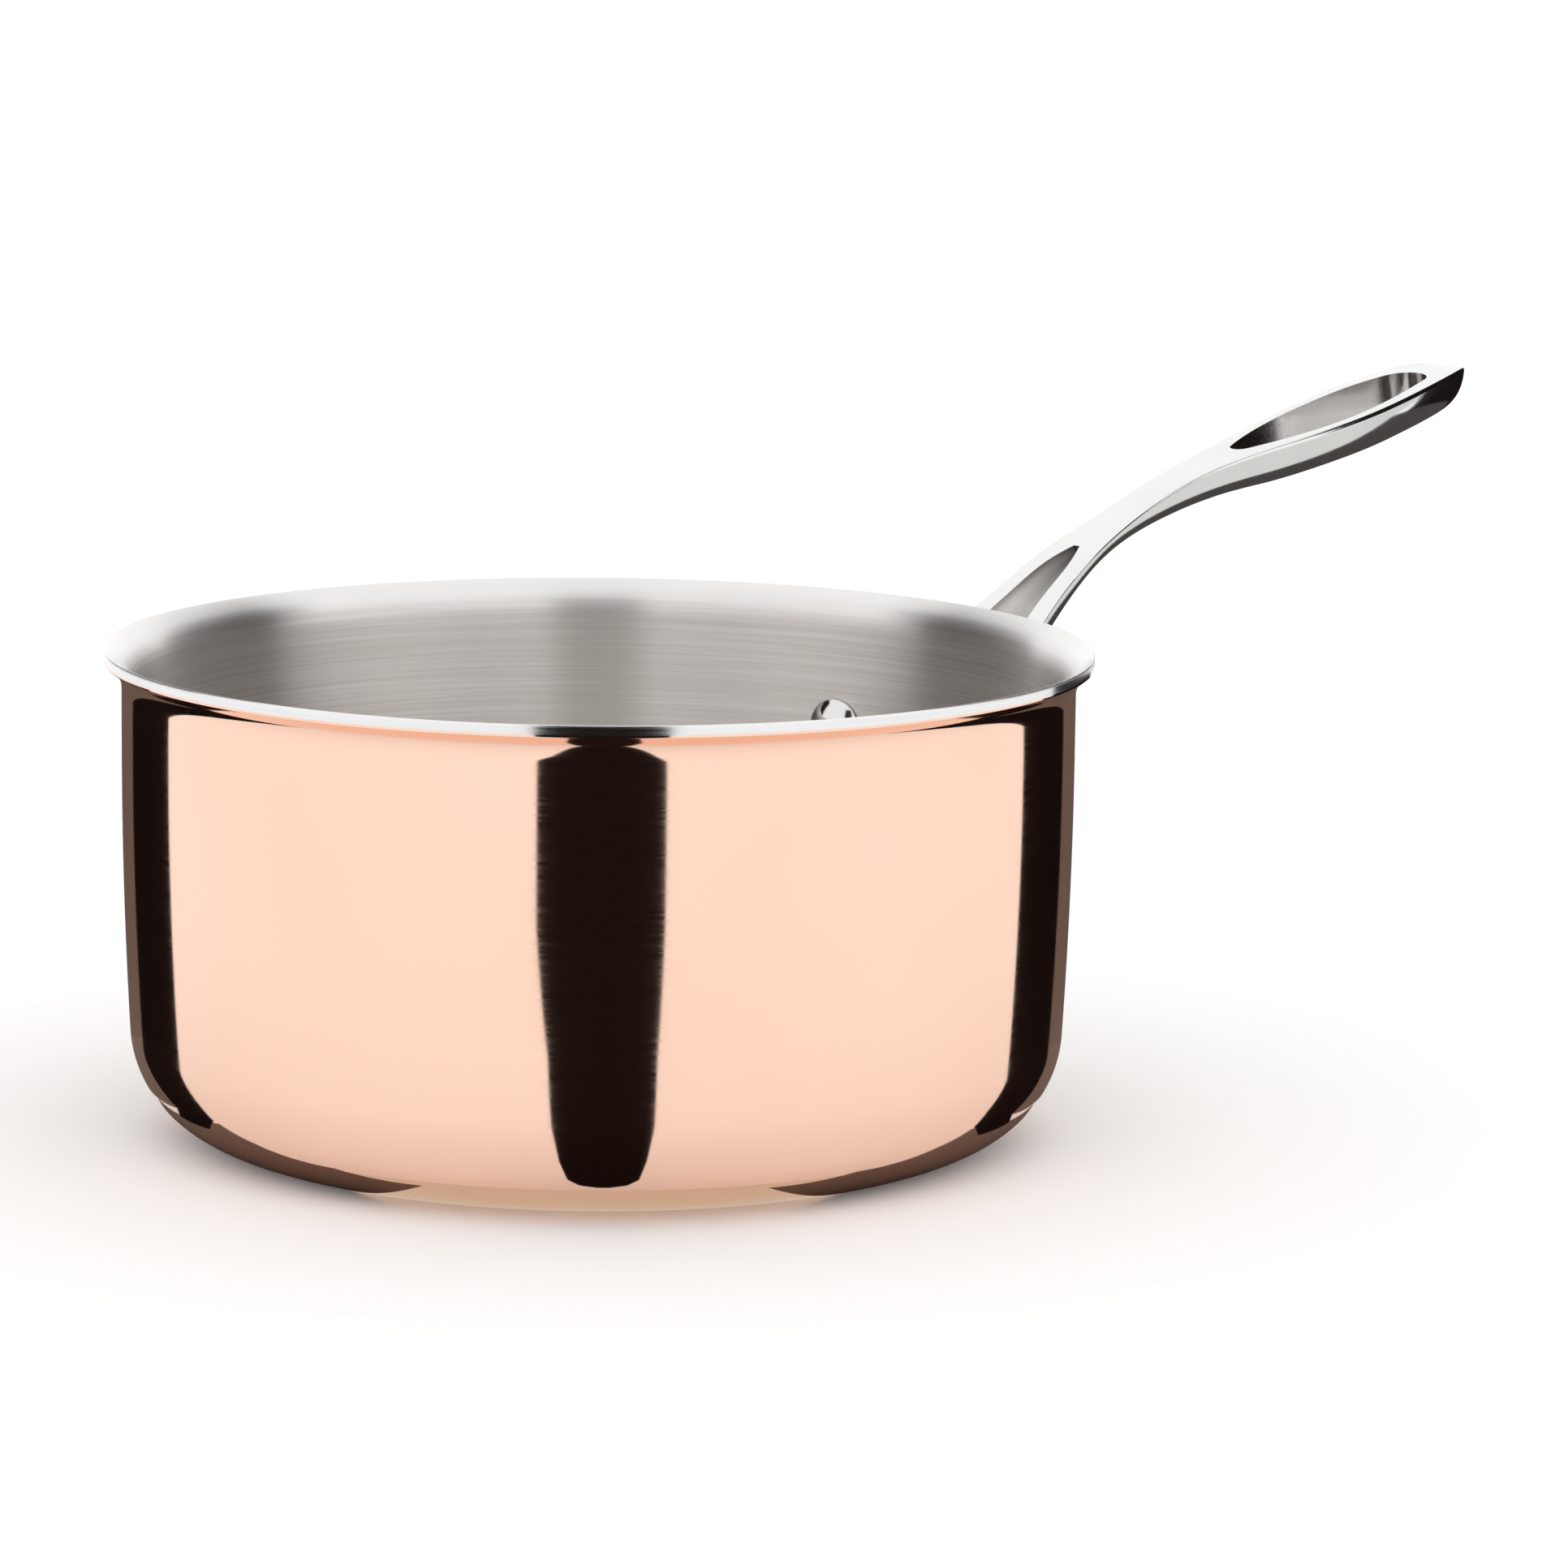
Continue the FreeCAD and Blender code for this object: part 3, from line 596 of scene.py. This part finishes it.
def satin_steel():
    """Bead-blasted floor between the prongs, with painted shade that darkens its pointed end."""
    m = Nodes("satin_cast_steel")
    grain = m.noise(m.scaled((2600, 2600, 2600)), scale=1, detail=2)
    floor = m.blend(m.span(grain, 0, 1), srgb(192, 188, 184), srgb(210, 206, 202))
    parts = m.add("ShaderNodeSeparateXYZ")
    m.link(m.place, parts.inputs[0])
    # Painted shade: the scoop's pointed end fades to dark brown
    tip_end_shade = m.span(parts.outputs["X"], 0, 1, start=136 * MM, end=153 * MM)
    tone = m.blend(tip_end_shade, floor, srgb(70, 62, 59))
    m.surface(tone, m.span(grain, 0.42, 0.52))
    m.bump(grain, strength=0.25, distance=0.05 * MM)
    return m.material


def cut_aluminium():
    """Polished edge of the aluminium layer, with the fine lines of its trimming."""
    m = Nodes("cut_aluminium")
    lines = m.noise(m.around(fine=5200, slow=3), scale=1, detail=2)
    colour = m.blend(m.span(lines, 0, 1), srgb(226, 226, 227), srgb(236, 236, 237))
    m.surface(colour, m.span(lines, 0.1, 0.16))
    m.bump(lines, strength=0.04, distance=0.02 * MM)
    return m.material


# ---- pieces --------------------------------------------------------------------------------
def make_pan():
    copper = pan_layer("copper_shell", "copper_skin", STEEL + CORE, WALL, outer_round=COPPER_SOFT)
    copper.data.materials.append(polished_copper())
    core = pan_layer("core_layer", "aluminium_core", STEEL, STEEL + CORE)
    core.data.materials.append(cut_aluminium())
    lining = pan_layer("steel_inner", "steel_lining", 0, STEEL, inner_round=STEEL_SOFT)
    lining.data.materials.append(brushed_steel())


def make_rivets():
    steel = polished_steel("rivet_steel", srgb(232, 231, 229), srgb(222, 221, 219), 0.1, 0.16)
    make_rivet("left_rivet", "rivet_left", 1, steel)
    make_rivet("right_rivet", "rivet_right", -1, steel)


# ---- camera, floor and light ---------------------------------------------------------------
def make_camera():
    camera = bpy.data.objects.new("camera", bpy.data.cameras.new("camera"))
    bpy.context.scene.collection.objects.link(camera)
    camera.data.lens = CAMERA_LENS
    camera.data.sensor_width = SENSOR_WIDTH
    camera.data.clip_start = 0.05
    camera.data.clip_end = 50
    turn = Matrix.Rotation(VIEW_TURN, 4, "Z")
    place = turn @ Vector((0, -CAMERA_OUT, CAMERA_UP))
    aim = turn @ Matrix.Rotation(-CAMERA_YAW, 4, "Z")
    aim = aim @ Matrix.Rotation(math.pi / 2 - CAMERA_PITCH, 4, "X") @ Matrix.Rotation(CAMERA_ROLL, 4, "Z")
    camera.matrix_world = Matrix.Translation(place) @ aim
    bpy.context.scene.camera = camera


def plain_material(name, colour, glow=None, strength=0.0):
    """Matt tone. With a glow it also gives light of its own."""
    m = Nodes(name, metallic=0.0)
    m.shader.inputs["Base Color"].default_value = colour
    m.shader.inputs["Roughness"].default_value = 0.9
    m.shader.inputs["Specular IOR Level"].default_value = 0.0
    if glow:
        m.shader.inputs["Emission Color"].default_value = glow
        m.shader.inputs["Emission Strength"].default_value = strength
    return m.material


def make_floor():
    reach = FLOOR_REACH
    corners = [(-reach, -reach, 0), (reach, -reach, 0), (reach, reach, 0), (-reach, reach, 0)]
    floor = new_object("floor", corners, [(0, 1, 2, 3)])
    pale, white = srgb(250, 250, 250), srgb(255, 255, 255)
    floor.data.materials.append(plain_material("pale_floor", pale, white, FLOOR_GLOW))


def make_world():
    world = bpy.data.worlds.new("studio")
    bpy.context.scene.world = world
    world.use_nodes = True
    background = world.node_tree.nodes["Background"]
    background.inputs["Color"].default_value = (1, 1, 1, 1)
    background.inputs["Strength"].default_value = WORLD_STRENGTH
    bpy.context.scene.view_settings.view_transform = "Standard"


def flag(name, faces, material):
    """Studio flag seen only in reflections, from faces given as points in the camera's bearing."""
    verts = [point for face in faces for point in face]
    ends = np.cumsum([len(face) for face in faces])
    made = new_object(name, verts, [tuple(range(end - len(f), end)) for f, end in zip(faces, ends)])
    made.data.transform(Matrix.Rotation(VIEW_TURN, 4, "Z"))
    made.data.materials.append(material)
    made.visible_camera = False
    made.visible_diffuse = False
    made.visible_transmission = False
    made.visible_shadow = False


def upright(first, second, low, high):
    """Standing face over two points of the floor, between two heights."""
    return [(*first, low), (*second, low), (*second, high), (*first, high)]


def mirrored(degrees, travel):
    """Floor point that the round wall mirrors at a normal, so far from the wall.

    Normals are counted from the side that faces the camera. A negative travel is under the pan."""
    angle = math.radians(degrees)
    out = MOUTH_R + WALL + min(travel, 0)
    away = max(travel, 0)
    x = out * math.sin(angle) + away * math.sin(2 * angle)
    y = -out * math.cos(angle) - away * math.cos(2 * angle)
    return x, y


def floor_flag(name, rows, height, material):
    """Flag on the floor through rows of travel, low and high normal, and up from its far edge."""
    lows = [mirrored(low, travel) for travel, low, high in rows]
    highs = [mirrored(high, travel) for travel, low, high in rows]
    sheet = [(x, y, FLAG_LIFT) for x, y in lows + highs[::-1]]
    flag(name, [sheet, upright(lows[-1], highs[-1], FLAG_LIFT, height)], material)


def card(name, start, end, low, high, material):
    """Standing flag far from the axis, between two bearings in degrees and two heights."""
    angles = math.radians(start), math.radians(end)
    ends = [(CARD_FAR * math.cos(a), CARD_FAR * math.sin(a)) for a in angles]
    flag(name, [upright(*ends, low, high)], material)


def tail_flag(name, side, material):
    """Flat flag of painted shade under the pan's lower corner, on the side given as -1 or 1."""
    points = [(*mirrored(side * degrees, travel), TAIL_LIFT) for travel, degrees in TAIL]
    flag(name, [points], material)


def ring_flag(name, material):
    """Flat ring of painted shade under the pan's lower corner: one outline, out around the rim and back
    around the hole.
    """
    turns = [2 * math.pi * k / RING_STEPS for k in range(RING_STEPS + 1)]
    ring = [(RING_R * math.cos(t), RING_R * math.sin(t), RING_LIFT) for t in turns]
    ring += [(RING_HOLE_R * math.cos(t), RING_HOLE_R * math.sin(t), RING_LIFT) for t in turns[::-1]]
    flag(name, [ring], material)


def sheet_flag(name, rest, material):
    """Level flag near the handle, given as points in the pan's own bearing."""
    turned = [Matrix.Rotation(-VIEW_TURN, 2) @ Vector(point) for point in SHEET_EDGE + rest]
    flag(name, [[(x, y, SHEET_Z) for x, y in turned]], material)


def make_flags():
    """Makes the reflections that the photo shows, with flags that nothing but a mirror sees."""
    black = plain_material("black_flag", srgb(26, 20, 19))
    brown = plain_material("brown_flag", srgb(122, 110, 103))
    grey = plain_material("grey_flag", srgb(74, 71, 70))
    # Glowing tan sheet: painted shade of the floor under the pan, tinted by the copper, seen in the
    # copper's foot
    tan = plain_material("tan_shade_flag", srgb(0, 0, 0), srgb(207, 194, 177), 1.0)
    pale = plain_material("pale_flag", srgb(0, 0, 0), srgb(226, 225, 222), 1.0)
    floor_flag("front_flag", FRONT_ROWS, FRONT_TALL, black)
    floor_flag("left_flag", LEFT_ROWS, SIDE_TALL, black)
    floor_flag("right_flag", RIGHT_ROWS, SIDE_TALL, black)
    floor_flag("left_strip_flag", LEFT_STRIP_ROWS, SIDE_TALL, brown)
    floor_flag("right_strip_flag", RIGHT_STRIP_ROWS, SIDE_TALL, brown)
    # Brown tails: painted shade of the floor beside the pan's foot, mirrored in the copper's lower corner
    tail_flag("left_tail_shade_flag", -1, brown)
    tail_flag("right_tail_shade_flag", 1, brown)
    # Tan ring of painted shade under the pan's foot
    ring_flag("foot_shade_flag", tan)
    for name, place in CARDS.items():
        card(name, *place, black)
    sheet_flag("under_handle_flag", UNDER_HANDLE, grey)
    sheet_flag("beside_handle_flag", BESIDE_HANDLE, pale)


make_camera()
make_world()
make_floor()
make_flags()
make_pan()
make_handle()
make_rivets()
